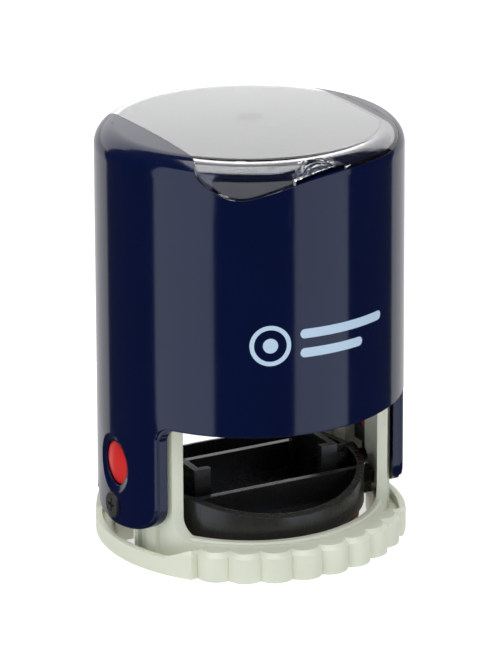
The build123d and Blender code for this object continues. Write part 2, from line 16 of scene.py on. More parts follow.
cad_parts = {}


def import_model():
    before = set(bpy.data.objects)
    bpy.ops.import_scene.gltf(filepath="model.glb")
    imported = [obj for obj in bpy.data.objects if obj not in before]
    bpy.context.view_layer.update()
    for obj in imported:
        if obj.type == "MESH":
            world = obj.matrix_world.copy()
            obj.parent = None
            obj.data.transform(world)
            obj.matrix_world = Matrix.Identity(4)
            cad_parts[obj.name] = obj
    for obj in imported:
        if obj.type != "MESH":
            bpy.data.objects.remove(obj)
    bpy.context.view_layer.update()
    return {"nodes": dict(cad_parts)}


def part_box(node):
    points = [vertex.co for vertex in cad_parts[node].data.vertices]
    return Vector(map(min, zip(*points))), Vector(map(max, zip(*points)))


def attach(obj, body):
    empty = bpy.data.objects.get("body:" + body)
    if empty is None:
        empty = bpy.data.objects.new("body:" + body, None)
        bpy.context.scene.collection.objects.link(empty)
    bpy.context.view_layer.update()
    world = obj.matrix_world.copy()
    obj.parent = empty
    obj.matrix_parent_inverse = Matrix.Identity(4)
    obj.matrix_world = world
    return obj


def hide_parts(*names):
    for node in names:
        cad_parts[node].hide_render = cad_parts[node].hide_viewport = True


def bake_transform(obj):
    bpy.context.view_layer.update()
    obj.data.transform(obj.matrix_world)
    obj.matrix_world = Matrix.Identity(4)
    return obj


LOG = logging.getLogger("stamp")
MM = 0.001
Colour = tuple[float, float, float]
Point = tuple[float, float, float]
Span = tuple[float, float]
COOL_LIGHT: Colour = (0.84, 0.93, 1.12)


class Slot(Enum):
    """Material slots of the record."""

    CARD = "card"
    STEEL = "spring_steel"


class Body(Enum):
    """Rigid bodies of the frame that new pieces ride on."""

    FRAME = "frame"
    SPRING_END = "spring_end"
    HOUSING = "housing"


# ---- node wiring -----------------------------------------------------------------------------------------
class Wiring:
    """Adds and links nodes in one node tree."""

    # Places of a Mix node's sockets for factor, both colours and result: their names aren't unique.
    MIX_INPUTS = (0, 6, 7)
    MIX_RESULT = 2

    def __init__(self, tree: bpy.types.NodeTree) -> None:
        """Starts wiring a tree.

        Args:
            tree: the node tree of a material or of a group.
        """
        self.tree = tree

    def link(self, source: bpy.types.NodeSocket, target: bpy.types.NodeSocket) -> None:
        """Links an output socket to an input socket."""
        self.tree.links.new(source, target)

    def add(self, kind: str, inputs: dict[str | int, object] | None = None,
            **settings: object) -> bpy.types.Node:
        """Adds a node.

        Args:
            kind: the node's type name without its ShaderNode prefix.
            inputs: value or output socket for each input, by its name or place.
            settings: attributes of the node itself.

        Returns:
            The new node.
        """
        node = self.tree.nodes.new("ShaderNode" + kind)
        for name, value in settings.items():
            setattr(node, name, value)
        for name, value in (inputs or {}).items():
            if isinstance(value, bpy.types.NodeSocket):
                self.link(value, node.inputs[name])
            else:
                node.inputs[name].default_value = value
        return node

    def math(self, operation: str, *values: object, clamp: bool = False) -> bpy.types.NodeSocket:
        """Adds a Math node.

        Args:
            operation: the node's operation, such as MULTIPLY.
            values: numbers or output sockets for its inputs.
            clamp: whether the result is kept between 0 and 1.

        Returns:
            The node's output socket.
        """
        node = self.add("Math", dict(enumerate(values)), operation=operation, use_clamp=clamp)
        return node.outputs[0]

    def noise(self, scale: float, detail: float, vector: object | None = None,
              roughness: float = 0.5) -> bpy.types.NodeSocket:
        """Adds a noise texture in object coordinates.

        Args:
            scale: features per metre, or a socket that gives it.
            detail: number of octaves.
            vector: socket that replaces the object coordinates.
            roughness: weight of the finer octaves.

        Returns:
            The noise's value socket.
        """
        place = vector if vector is not None else self.add("TexCoord").outputs["Object"]
        node = self.add(
            "TexNoise", {"Vector": place, "Scale": scale, "Detail": detail, "Roughness": roughness})
        return node.outputs["Fac"]

    def ramp(self, value: bpy.types.NodeSocket, span: Span) -> bpy.types.NodeSocket:
        """Maps a value to 0 at a span's start and 1 at its end, clamped.

        Args:
            value: socket to map.
            span: value that gives 0, and value that gives 1.

        Returns:
            The mapped socket.
        """
        low, high = span
        node = self.add("MapRange", {"Value": value, "From Min": low, "From Max": high}, clamp=True)
        return node.outputs["Result"]

    def mix(self, factor: object, first: object, second: object) -> bpy.types.NodeSocket:
        """Mixes two colours.

        Args:
            factor: socket or number from 0 to 1.
            first: colour or socket at 0.
            second: colour or socket at 1.

        Returns:
            The mixed colour socket.
        """
        opaque = [value if isinstance(value, bpy.types.NodeSocket) else (*value, 1.0)
                  for value in (first, second)]
        places = dict(zip(self.MIX_INPUTS, (factor, *opaque)))
        return self.add("Mix", places, data_type="RGBA").outputs[self.MIX_RESULT]


def new_group(name: str, inputs: dict[str, float], outputs: dict[str, str]) -> tuple[
        Wiring, bpy.types.Node, bpy.types.Node]:
    """Starts a shader node group.

    Args:
        name: the group's name.
        inputs: default value of each float input.
        outputs: socket type of each output.

    Returns:
        Its wiring, its input node and its output node.
    """
    tree = bpy.data.node_groups.new(name, "ShaderNodeTree")
    for socket, value in inputs.items():
        made = tree.interface.new_socket(name=socket, in_out="INPUT", socket_type="NodeSocketFloat")
        made.default_value = value
    for socket, kind in outputs.items():
        tree.interface.new_socket(name=socket, in_out="OUTPUT", socket_type=kind)
    return Wiring(tree), tree.nodes.new("NodeGroupInput"), tree.nodes.new("NodeGroupOutput")


class SharedEffects:
    """Shader node groups that several finishes use, each built once.

    Scales are features per metre. A span gives the values that map to 0 and to 1.
    """

    EDGE_RADIUS = 0.15 * MM
    EDGE_RAYS = 6
    EDGE_GAIN = 4.0
    GRAINS = 5000.0
    WAVINESS = 0.3
    WAVE_SCALE = 90.0
    WAVE_SPAN = (0.3, 0.7)
    # Turn about Y and stretch of each set of hairlines, and the turns about X and Z that both share.
    HAIRLINES = ((0.5, (5200.0, 5200.0, 120.0)), (1.9, (260.0, 4600.0, 3900.0)))
    HAIRLINE_TILT = (0.35, 0.6)
    HAIRLINE_SPAN = (0.735, 0.78)
    SMUDGE_SCALE = 140.0
    SMUDGE_SPAN = (0.48, 0.72)
    DUST_AMOUNT = 0.5
    DUST_FACING = (0.3, 0.95)
    SPECK_SCALE = 2600.0
    SPECK_SPAN = (0.70, 0.76)
    FILM_SCALE = 300.0
    FILM_SHARE = 0.25
    # The thumb recess: its middle, its half width and half height, and the wall's distance from the X axis.
    RECESS_X = -0.4 * MM
    RECESS_Z = 74.0 * MM
    RECESS_HALF_X = 4.6 * MM
    RECESS_HALF_Z = 3.0 * MM
    RECESS_RIM = (1.0, 0.92)
    RECESS_WALL = (24.5 * MM, 24.8 * MM)
    RIDGES = 4.5
    # The gate mark, in shares of its radius: its rim, and both sides of the raised ring inside it.
    GATE_RADIUS = 2.6 * MM
    GATE_RIM = (1.05, 0.95)
    GATE_RING_IN = (0.25, 0.35)
    GATE_RING_OUT = (0.95, 0.7)
    GATE_RING_SHARE = 0.4
    GATE_DISC_SHARE = 0.6

    def __init__(self) -> None:
        """Builds the groups."""
        self.round_edges = self._round_edges()
        self.mould_grain = self._mould_grain()
        self.handling = self._handling()
        self.dust = self._dust()
        self.window_details = self._window_details()

    def _round_edges(self) -> bpy.types.NodeTree:
        """Softened edge normals and a mask of the edges.

        Returns:
            The group, with outputs Normal and Edge.
        """
        wiring, entry, leave = new_group(
            "round_edges", {"Radius": self.EDGE_RADIUS},
            {"Normal": "NodeSocketVector", "Edge": "NodeSocketFloat"})
        soft = wiring.add("Bevel", {"Radius": entry.outputs["Radius"]}, samples=self.EDGE_RAYS)
        flat = wiring.add("NewGeometry")
        pair = {0: soft.outputs[0], 1: flat.outputs["Normal"]}
        dot = wiring.add("VectorMath", pair, operation="DOT_PRODUCT")
        turned = wiring.math("SUBTRACT", 1.0, dot.outputs["Value"])
        edge = wiring.math("MULTIPLY", turned, self.EDGE_GAIN, clamp=True)
        wiring.link(soft.outputs[0], leave.inputs["Normal"])
        wiring.link(edge, leave.inputs["Edge"])
        return wiring.tree

    def _mould_grain(self) -> bpy.types.NodeTree:
        """Fine spark-eroded grain of a mould, and slow waviness of the moulded wall.

        Returns:
            The group, with outputs Height and Shade.
        """
        wiring, entry, leave = new_group(
            "mould_grain", {"Grains": self.GRAINS, "Waviness": self.WAVINESS},
            {"Height": "NodeSocketFloat", "Shade": "NodeSocketFloat"})
        fine = wiring.noise(entry.outputs["Grains"], 3.0, roughness=0.6)
        slow = wiring.noise(self.WAVE_SCALE, 1.0)
        waved = wiring.math("MULTIPLY", slow, entry.outputs["Waviness"])
        wiring.link(wiring.math("ADD", fine, waved), leave.inputs["Height"])
        wiring.link(wiring.ramp(slow, self.WAVE_SPAN), leave.inputs["Shade"])
        return wiring.tree

    def _handling(self) -> bpy.types.NodeTree:
        """Hairline scratches and faint finger smudges.

        Returns:
            The group, with outputs Scratch and Smudge.
        """
        wiring, entry, leave = new_group(
            "handling_marks", {"Length": 1.0}, {"Scratch": "NodeSocketFloat", "Smudge": "NodeSocketFloat"})
        place = wiring.add("TexCoord").outputs["Object"]
        tilt_x, tilt_z = self.HAIRLINE_TILT
        lines = []
        for turn, stretch in self.HAIRLINES:
            mapping = wiring.add(
                "Mapping", {"Vector": place, "Rotation": (tilt_x, turn, tilt_z), "Scale": stretch})
            scaled = wiring.add("VectorMath", {0: mapping.outputs[0], "Scale": entry.outputs["Length"]},
                                operation="SCALE")
            lines.append(wiring.ramp(wiring.noise(1.0, 0.0, scaled.outputs[0]), self.HAIRLINE_SPAN))
        wiring.link(wiring.math("MAXIMUM", *lines), leave.inputs["Scratch"])
        smudge = wiring.ramp(wiring.noise(self.SMUDGE_SCALE, 3.0, roughness=0.65), self.SMUDGE_SPAN)
        wiring.link(smudge, leave.inputs["Smudge"])
        return wiring.tree

    def _dust(self) -> bpy.types.NodeTree:
        """Specks of dust that settle on faces that look up.

        Returns:
            The group, with output Mask.
        """
        wiring, entry, leave = new_group(
            "settled_dust", {"Amount": self.DUST_AMOUNT}, {"Mask": "NodeSocketFloat"})
        normal = wiring.add("NewGeometry").outputs["Normal"]
        up = wiring.ramp(wiring.add("SeparateXYZ", {0: normal}).outputs["Z"], self.DUST_FACING)
        specks = wiring.ramp(wiring.noise(self.SPECK_SCALE, 1.0), self.SPECK_SPAN)
        film = wiring.math("MULTIPLY", wiring.noise(self.FILM_SCALE, 4.0), self.FILM_SHARE)
        both = wiring.math("MULTIPLY", wiring.math("ADD", specks, film), up)
        amount = wiring.math("MULTIPLY", both, entry.outputs["Amount"], clamp=True)
        wiring.link(amount, leave.inputs["Mask"])
        return wiring.tree

    def _window_details(self) -> bpy.types.NodeTree:
        """Grip ridges in the window's thumb recess, and the round gate mark in the middle of its top.

        Returns:
            The group, with outputs Ridges and Gate.
        """
        wiring, entry, leave = new_group(
            "window_details", {"Ridge Count": self.RIDGES, "Gate Radius": self.GATE_RADIUS},
            {"Ridges": "NodeSocketFloat", "Gate": "NodeSocketFloat"})
        place = wiring.add("TexCoord").outputs["Object"]
        parts = wiring.add("SeparateXYZ", {0: place}).outputs
        across, up = (
            wiring.math("DIVIDE", wiring.math("SUBTRACT", parts[axis], middle), half)
            for axis, middle, half in (("X", self.RECESS_X, self.RECESS_HALF_X),
                                       ("Z", self.RECESS_Z, self.RECESS_HALF_Z)))
        reach = wiring.math("SQRT", wiring.math(
            "ADD", wiring.math("MULTIPLY", across, across), wiring.math("MULTIPLY", up, up)))
        turns = wiring.math(
            "MULTIPLY", wiring.math("MULTIPLY", reach, 2 * math.pi), entry.outputs["Ridge Count"])
        wave = wiring.math("MULTIPLY_ADD", wiring.math("SINE", turns), 0.5, 0.5)
        inside = wiring.ramp(reach, self.RECESS_RIM)
        out = wiring.ramp(wiring.math("ABSOLUTE", parts["Y"]), self.RECESS_WALL)
        ridges = wiring.math("MULTIPLY", wiring.math("MULTIPLY", wave, inside), out)
        wiring.link(ridges, leave.inputs["Ridges"])
        flat = wiring.add("CombineXYZ", {"X": parts["X"], "Y": parts["Y"]}).outputs[0]
        centre = wiring.add("VectorMath", {0: flat}, operation="LENGTH").outputs["Value"]
        share = wiring.math("DIVIDE", centre, entry.outputs["Gate Radius"])
        disc = wiring.math("MULTIPLY", wiring.ramp(share, self.GATE_RIM), self.GATE_DISC_SHARE)
        ring = wiring.math("MULTIPLY", wiring.ramp(share, self.GATE_RING_IN),
                           wiring.ramp(share, self.GATE_RING_OUT))
        gate = wiring.math("MULTIPLY_ADD", ring, self.GATE_RING_SHARE, disc)
        wiring.link(gate, leave.inputs["Gate"])
        return wiring.tree


# ---- finishes --------------------------------------------------------------------------------------------
def new_material(name: str) -> tuple[bpy.types.Material, Wiring, bpy.types.Node]:
    """Starts a node material.

    Args:
        name: the material's name.

    Returns:
        The material, its wiring and its Principled BSDF.
    """
    material = bpy.data.materials.new(name)
    material.use_nodes = True
    return material, Wiring(material.node_tree), material.node_tree.nodes["Principled BSDF"]


def set_plain(shader: bpy.types.Node, **values: object) -> None:
    """Sets constants on a shader's own sockets.

    Args:
        shader: the Principled BSDF.
        values: value of each socket, with underscores for the spaces in its name.
    """
    for name, value in values.items():
        shader.inputs[name.replace("_", " ")].default_value = value


@dataclass(frozen=True)
class MouldedPlastic:
    """Injection-moulded plastic: grain, softened edges with a painted highlight, handling marks and a trace
    of dust.
    """

    name: str
    colour: Colour
    roughness: float
    # lighter colour mixed onto the edges as a painted highlight
    edge_highlight_colour: Colour
    grains: float = 5200.0
    grain_depth: float = 0.004 * MM
    waviness: float = 0.3
    edge_radius: float = 0.16 * MM
    scratch: float = 0.10
    smudge: float = 0.08
    dust: float = 0.2
    colour_drift: float = 0.06
    # share of the painted edge highlight where the edge mask is full
    edge_highlight_share: float = 0.35
    dust_colour: Colour = (0.42, 0.41, 0.39)
    dust_roughness: float = 0.3
    subsurface: float = 0.0
    subsurface_depth: float = 0.6 * MM
    subsurface_radius: Colour = (1.0, 0.95, 0.8)

    def build(self, effects: SharedEffects) -> bpy.types.Material:
        """Builds the material.

        Args:
            effects: the shared node groups.

        Returns:
            The finished material.
        """
        material, wiring, shader = new_material(self.name)
        edges = wiring.add("Group", node_tree=effects.round_edges)
        edges.inputs["Radius"].default_value = self.edge_radius
        grain = wiring.add("Group", node_tree=effects.mould_grain)
        grain.inputs["Grains"].default_value = self.grains
        grain.inputs["Waviness"].default_value = self.waviness
        marks = wiring.add("Group", node_tree=effects.handling)
        dust = wiring.add("Group", node_tree=effects.dust)
        dust.inputs["Amount"].default_value = self.dust

        darker = tuple(channel * (1.0 - self.colour_drift) for channel in self.colour)
        base = wiring.mix(grain.outputs["Shade"], darker, self.colour)
        # painted highlight: the edges are mixed toward the lighter edge colour by the bevel mask
        edge_highlighted = wiring.mix(
            wiring.math("MULTIPLY", edges.outputs["Edge"], self.edge_highlight_share), base, self.edge_highlight_colour)
        dusty = wiring.mix(dust.outputs["Mask"], edge_highlighted, self.dust_colour)
        wiring.link(dusty, shader.inputs["Base Color"])

        rough = wiring.math("MULTIPLY_ADD", marks.outputs["Scratch"], self.scratch, self.roughness)
        rough = wiring.math("MULTIPLY_ADD", marks.outputs["Smudge"], self.smudge, rough)
        rough = wiring.math("MULTIPLY_ADD", dust.outputs["Mask"], self.dust_roughness, rough, clamp=True)
        wiring.link(rough, shader.inputs["Roughness"])

        bump = wiring.add("Bump", {"Height": grain.outputs["Height"], "Normal": edges.outputs["Normal"],
                                   "Distance": self.grain_depth, "Strength": 1.0})
        wiring.link(bump.outputs["Normal"], shader.inputs["Normal"])
        set_plain(shader, IOR=1.5)
        if self.subsurface:
            set_plain(shader, Subsurface_Weight=self.subsurface, Subsurface_Scale=self.subsurface_depth,
                      Subsurface_Radius=self.subsurface_radius)
        return material


@dataclass(frozen=True)
class ClearPlastic:
    """Polished clear plastic with a trace of handling marks."""

    name: str
    tint: Colour
    roughness: float
    ridge_depth: float = 0.09 * MM
    scratch: float = 0.12
    smudge: float = 0.03
    tint_drift: float = 0.03
    gate_colour: Colour = (0.35, 0.36, 0.37)
    gate_share: float = 0.16

    def build(self, effects: SharedEffects) -> bpy.types.Material:
        """Builds the material.

        Args:
            effects: the shared node groups.

        Returns:
            The finished material.
        """
        material, wiring, shader = new_material(self.name)
        marks = wiring.add("Group", node_tree=effects.handling)
        grain = wiring.add("Group", node_tree=effects.mould_grain)
        grain.inputs["Waviness"].default_value = 1.0
        rough = wiring.math("MULTIPLY_ADD", marks.outputs["Scratch"], self.scratch, self.roughness)
        rough = wiring.math("MULTIPLY_ADD", marks.outputs["Smudge"], self.smudge, rough)
        wiring.link(rough, shader.inputs["Roughness"])
        details = wiring.add("Group", node_tree=effects.window_details)
        lighter = tuple(min(1.0, channel * (1.0 + self.tint_drift)) for channel in self.tint)
        tint = wiring.mix(grain.outputs["Shade"], self.tint, lighter)
        gate = wiring.math("MULTIPLY", details.outputs["Gate"], self.gate_share)
        marked = wiring.mix(gate, tint, self.gate_colour)
        wiring.link(marked, shader.inputs["Base Color"])
        bump = wiring.add("Bump", {"Height": details.outputs["Ridges"], "Distance": self.ridge_depth,
                                   "Strength": 1.0})
        wiring.link(bump.outputs["Normal"], shader.inputs["Normal"])
        set_plain(shader, IOR=1.49, Transmission_Weight=1.0)
        return material


@dataclass(frozen=True)
class Fibrous:
    """Paper, felt or foam: matt, with fibres or cells in colour and relief."""

    name: str
    colour: Colour
    fleck: Colour
    roughness: float
    cells: float
    depth: float
    sheen: float = 0.0
    fibre_stretch: Point = (1.0, 0.22, 1.0)
    fibre_span: Span = (0.35, 0.7)
    shade: float = 0.12
    patchiness: float = 0.1

    def build(self, effects: SharedEffects) -> bpy.types.Material:
        """Builds the material.

        Args:
            effects: the shared node groups.

        Returns:
            The finished material.
        """
        material, wiring, shader = new_material(self.name)
        place = wiring.add("TexCoord").outputs["Object"]
        stretched = wiring.add("Mapping", {"Vector": place, "Scale": self.fibre_stretch}).outputs[0]
        fibre = wiring.noise(self.cells, 4.0, stretched, 0.7)
        cell = wiring.noise(self.cells * 0.6, 2.0)
        grain = wiring.add("Group", node_tree=effects.mould_grain)
        colour = wiring.mix(wiring.ramp(fibre, self.fibre_span), self.colour, self.fleck)
        shade = wiring.mix(wiring.math("MULTIPLY", grain.outputs["Shade"], self.shade), colour, self.fleck)
        wiring.link(shade, shader.inputs["Base Color"])
        height = wiring.math("ADD", fibre, cell)
        bump = wiring.add("Bump", {"Height": height, "Distance": self.depth, "Strength": 0.8})
        wiring.link(bump.outputs["Normal"], shader.inputs["Normal"])
        rough = wiring.math("MULTIPLY_ADD", cell, self.patchiness, self.roughness, clamp=True)
        wiring.link(rough, shader.inputs["Roughness"])
        set_plain(shader, Sheen_Weight=self.sheen, Sheen_Roughness=0.6)
        return material


@dataclass(frozen=True)
class DrawnWire:
    """Drawn spring wire with die lines and a light oil film."""

    name: str
    colour: Colour
    roughness: float
    line_scale: float = 9000.0
    line_depth: float = 0.003 * MM
    line_roughness: float = 0.15
    oil_shade: float = 0.7

    def build(self, effects: SharedEffects) -> bpy.types.Material:
        """Builds the material.

        Args:
            effects: the shared node groups.

        Returns:
            The finished material.
        """
        material, wiring, shader = new_material(self.name)
        marks = wiring.add("Group", node_tree=effects.handling)
        lines = wiring.noise(self.line_scale, 2.0)
        oiled = tuple(channel * self.oil_shade for channel in self.colour)
        colour = wiring.mix(marks.outputs["Smudge"], self.colour, oiled)
        wiring.link(colour, shader.inputs["Base Color"])
        rough = wiring.math("MULTIPLY_ADD", lines, self.line_roughness, self.roughness)
        wiring.link(rough, shader.inputs["Roughness"])
        bump = wiring.add("Bump", {"Height": lines, "Distance": self.line_depth, "Strength": 0.6})
        wiring.link(bump.outputs["Normal"], shader.inputs["Normal"])
        set_plain(shader, Metallic=1.0)
        return material


@dataclass(frozen=True)
class PrintInk:
    """Pad-printed ink with a slightly open, uneven film."""

    name: str
    colour: Colour
    thin_colour: Colour
    roughness: float = 0.34
    smudge: float = 0.1
    pore_scale: float = 5200.0
    pore_span: Span = (0.62, 0.74)
    pore_depth: float = 0.004 * MM
    pore_share: float = 0.5

    def build(self, effects: SharedEffects) -> bpy.types.Material:
        """Builds the material.

        Args:
            effects: the shared node groups.

        Returns:
            The finished material.
        """
        material, wiring, shader = new_material(self.name)
        marks = wiring.add("Group", node_tree=effects.handling)
        pores = wiring.ramp(wiring.noise(self.pore_scale, 2.0), self.pore_span)
        film = wiring.mix(wiring.math("MULTIPLY", pores, self.pore_share), self.colour, self.thin_colour)
        wiring.link(film, shader.inputs["Base Color"])
        rough = wiring.math("MULTIPLY_ADD", marks.outputs["Smudge"], self.smudge, self.roughness)
        wiring.link(rough, shader.inputs["Roughness"])
        bump = wiring.add("Bump", {"Height": pores, "Distance": self.pore_depth, "Strength": 0.6})
        wiring.link(bump.outputs["Normal"], shader.inputs["Normal"])
        return material


@dataclass
class Finishes:
    """All finishes of the stamp, built once."""

    effects: SharedEffects = field(default_factory=SharedEffects)

    def __post_init__(self) -> None:
        """Builds each material."""
        effects = self.effects
        # the fourth argument of each moulded plastic is the lighter colour of its painted edge highlight
        self.navy = MouldedPlastic(
            "navy_gloss_plastic", (0.0002, 0.0036, 0.0305), 0.105, (0.010, 0.018, 0.060),
            grain_depth=0.0004 * MM, waviness=0.9, scratch=0.10, smudge=0.02, dust=0.05,
            colour_drift=0.10).build(effects)
        self.pale = MouldedPlastic(
            "pale_frame_plastic", (0.735, 0.755, 0.605), 0.36, (0.80, 0.82, 0.72), grain_depth=0.005 * MM,
            scratch=0.12, dust=0.08, subsurface=0.12).build(effects)
        self.black = MouldedPlastic(
            "black_satin_plastic", (0.0250, 0.0240, 0.0205), 0.24, (0.05, 0.05, 0.05), grain_depth=0.007 * MM,
            scratch=0.16, dust=0.35).build(effects)
        self.red = MouldedPlastic(
            "red_button_plastic", (0.690, 0.008, 0.004), 0.34, (0.80, 0.08, 0.05), grain_depth=0.003 * MM,
            scratch=0.12, subsurface=0.1).build(effects)
        self.clear = ClearPlastic("clear_window_plastic", (0.97, 0.98, 0.98), 0.015).build(effects)
        self.card = Fibrous(
            "index_card_paper", (0.268, 0.270, 0.268), (0.308, 0.310, 0.308), 0.6, 3000.0,
            0.006 * MM).build(effects)
        self.felt = Fibrous(
            "inked_felt", (0.006, 0.008, 0.030), (0.030, 0.034, 0.075), 0.75, 2200.0, 0.12 * MM,
            sheen=0.25).build(effects)
        self.foam = Fibrous(
            "adhesive_foam", (0.62, 0.60, 0.54), (0.75, 0.73, 0.67), 0.85, 3200.0, 0.05 * MM).build(effects)
        self.rubber = MouldedPlastic(
            "engraved_rubber", (0.30, 0.085, 0.065), 0.62, (0.34, 0.11, 0.09), grains=3000.0,
            grain_depth=0.012 * MM, scratch=0.05, dust=0.1).build(effects)
        self.steel = DrawnWire("spring_wire", (0.52, 0.52, 0.53), 0.24).build(effects)
        self.ink = PrintInk("pale_blue_print", (0.46, 0.60, 0.72), (0.20, 0.28, 0.38)).build(effects)


# ---- mesh helpers ----------------------------------------------------------------------------------------
def mesh_object(name: str, shape: bmesh.types.BMesh, material: bpy.types.Material,
                smooth_angle: float = 35.0) -> bpy.types.Object:
    """Turns a bmesh into an object, smooth except at sharp edges.

    Args:
        name: the object's name.
        shape: the bmesh, which is freed.
        material: its finish.
        smooth_angle: edges sharper than this many degrees stay sharp.

    Returns:
        The new object.
    """
    bmesh.ops.recalc_face_normals(shape, faces=shape.faces)
    data = bpy.data.meshes.new(name)
    shape.to_mesh(data)
    shape.free()
    data.shade_smooth()
    data.set_sharp_from_angle(angle=math.radians(smooth_angle))
    data.materials.append(material)
    made = bpy.data.objects.new(name, data)
    bpy.context.scene.collection.objects.link(made)
    return made


def add_grid(shape: bmesh.types.BMesh, rows: list[list[Vector]], close_rows: bool = False,
             close_columns: bool = False) -> list[list[bmesh.types.BMVert]]:
    """Adds a grid of quads.

    Args:
        shape: the bmesh to add to.
        rows: points of each row, all rows of equal length.
        close_rows: whether each row closes on itself.
        close_columns: whether the last row joins the first.

    Returns:
        The new vertices of each row.
    """
    made = [[shape.verts.new(point) for point in row] for row in rows]
    across, along = len(made[0]), len(made)
    for i in range(along if close_columns else along - 1):
        low, high = made[i], made[(i + 1) % along]
        for j in range(across if close_rows else across - 1):
            k = (j + 1) % across
            shape.faces.new((low[j], low[k], high[k], high[j]))
    return made


def add_tube(shape: bmesh.types.BMesh, rows: list[list[Vector]]) -> None:
    """Adds a tube of quads with both ends closed.

    Args:
        shape: the bmesh to add to.
        rows: points of each ring, all rings of equal length.
    """
    made = add_grid(shape, rows, close_rows=True)
    for ring in (made[-1], made[0]):
        shape.faces.new(ring)


@dataclass
class Assembly:
    """Part of the stamp, with its own carried-over CAD nodes."""

    nodes: dict[str, bpy.types.Object]
    finishes: Finishes

    def dress(self, finish: bpy.types.Material, *names: str) -> None:
        """Gives CAD nodes one finish.

        Args:
            finish: the material for all their faces.
            names: the nodes.
        """
        for name in names:
            node = self.nodes[name]
            if not node.material_slots:
                node.data.materials.append(finish)
            for place in node.material_slots:
                place.material = finish
            LOG.info("dressed %s", name)


# ---- housing ---------------------------------------------------------------------------------------------
@dataclass
class Print:
    """Generic mark printed on the front of the housing: a ring with a dot, and two bars."""

    middle_z: float = 44.5 * MM
    lift: float = 0.012 * MM
    film: float = 0.02 * MM
    foot_radius: float = 28.1 * MM
    foot_z: float = 5.3 * MM
    top_radius: float = 27.72 * MM
    top_z: float = 73.5 * MM
    ring_at: float = -10.0 * MM
    ring_outer: float = 3.7 * MM
    ring_inner: float = 2.9 * MM
    dot: float = 1.35 * MM
    bar_start: float = -4.6 * MM
    bar_ends: tuple[float, float] = (13.6 * MM, 8.4 * MM)
    bar_rise: float = 1.75 * MM
    bar_half: float = 0.85 * MM
    bar_steps: int = 72
    bar_rows: tuple[float, ...] = (-1.0, -0.5, 0.0, 0.5, 1.0)
    circle_steps: int = 64
    tip: float = 0.02

    def on_wall(self, along: float, up: float, lift: float) -> Vector:
        """Point on the housing's front wall.

        Args:
            along: distance round the wall from the front, to the right.
            up: height above the middle of the print.
            lift: height above the wall.

        Returns:
            The point in the part's frame.
        """
        z = self.middle_z + up
        share = (z - self.foot_z) / (self.top_z - self.foot_z)
        radius = self.foot_radius + (self.top_radius - self.foot_radius) * share + lift
        angle = along / self.foot_radius
        return Vector((radius * math.sin(angle), -radius * math.cos(angle), z))

    def _film_patch(self, shape: bmesh.types.BMesh, rings: list[list[tuple[float, float]]]) -> None:
        """Adds a thin closed film whose outline shrinks through the given loops.

        Args:
            shape: the bmesh to add to.
            rings: loops of (along, up) points from the outline inwards, the last a hole or nearly closed.
        """
        top = [[self.on_wall(a, u, self.lift + self.film) for a, u in loop] for loop in rings]
        low = [[self.on_wall(a, u, self.lift) for a, u in loop] for loop in reversed(rings)]
        add_grid(shape, top + low, close_rows=True, close_columns=True)

    def _bar(self, shape: bmesh.types.BMesh, start: float, end: float, up: float) -> None:
        """Adds a thin closed bar with round ends that follows the wall.

        Args:
            shape: the bmesh to add to.
            start: left end, round the wall.
            end: right end, round the wall.
            up: height of its middle above the middle of the print.
        """
        rows = []
        for i in range(self.bar_steps + 1):
            turn = math.pi * i / self.bar_steps
            along = (start + end) / 2 - (end - start) / 2 * math.cos(turn)
            inset = max(0.0, self.bar_half - min(along - start, end - along))
            half = max(self.tip * self.bar_half, math.sqrt(max(0.0, self.bar_half ** 2 - inset ** 2)))
            top = [self.on_wall(along, up + half * share, self.lift + self.film) for share in self.bar_rows]
            low = [self.on_wall(along, up + half * share, self.lift) for share in reversed(self.bar_rows)]
            rows.append(top + low)
        add_tube(shape, rows)

    def build(self, finish: bpy.types.Material) -> bpy.types.Object:
        """Builds the printed film.

        Args:
            finish: the ink.

        Returns:
            The print's object.
        """
        shape = bmesh.new()
        turn = [2 * math.pi * i / self.circle_steps for i in range(self.circle_steps)]

        def circle(radius: float) -> list[tuple[float, float]]:
            """Loop round the pictogram's middle."""
            return [(self.ring_at + radius * math.cos(a), radius * math.sin(a)) for a in turn]

        self._film_patch(shape, [circle(self.ring_outer), circle(self.ring_inner)])
        self._film_patch(shape, [circle(self.dot), circle(self.dot / 2), circle(self.dot * self.tip)])
        for end, up in zip(self.bar_ends, (self.bar_rise, -self.bar_rise)):
            self._bar(shape, self.bar_start, end, up)
        made = mesh_object("front_print", shape, finish)
        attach(made, Body.HOUSING.value)
        return made


@dataclass
class HousingUnit(Assembly):
    """Glossy housing with its window, card, buttons, pins and print."""

    mark: Print = field(default_factory=Print)

    def build(self) -> None:
        """Dresses the housing's nodes and adds the print."""
        self.dress(self.finishes.navy, "housing")
        self.dress(self.finishes.clear, "index_window")
        self.dress(self.finishes.card, "index_card")
        self.dress(self.finishes.black, "spring_plunger")
        for side in ("left", "right"):
            self.dress(self.finishes.red, f"{side}_lock_button")
            self.dress(self.finishes.black, f"{side}_button_keeper", f"{side}_axle_pin")
        made = self.mark.build(self.finishes.ink)
        LOG.info("built %s", made.name)


# ---- frame, pad and die ----------------------------------------------------------------------------------
class FrameUnit(Assembly):
    """Pale frame with its crown, and the ink pad in its tray."""

    def build(self) -> None:
        """Dresses the frame's nodes."""
        self.dress(self.finishes.pale, "base_frame", "frame_crown")
        self.dress(self.finishes.black, "ink_pad_tray")
        self.dress(self.finishes.felt, "ink_pad")


class DieUnit(Assembly):
    """Turning carrier with its foam and rubber die."""

    def build(self) -> None:
        """Dresses the carrier's nodes."""
        self.dress(self.finishes.black, "die_carrier")
        self.dress(self.finishes.foam, "die_foam")
        self.dress(self.finishes.rubber, "rubber_die")


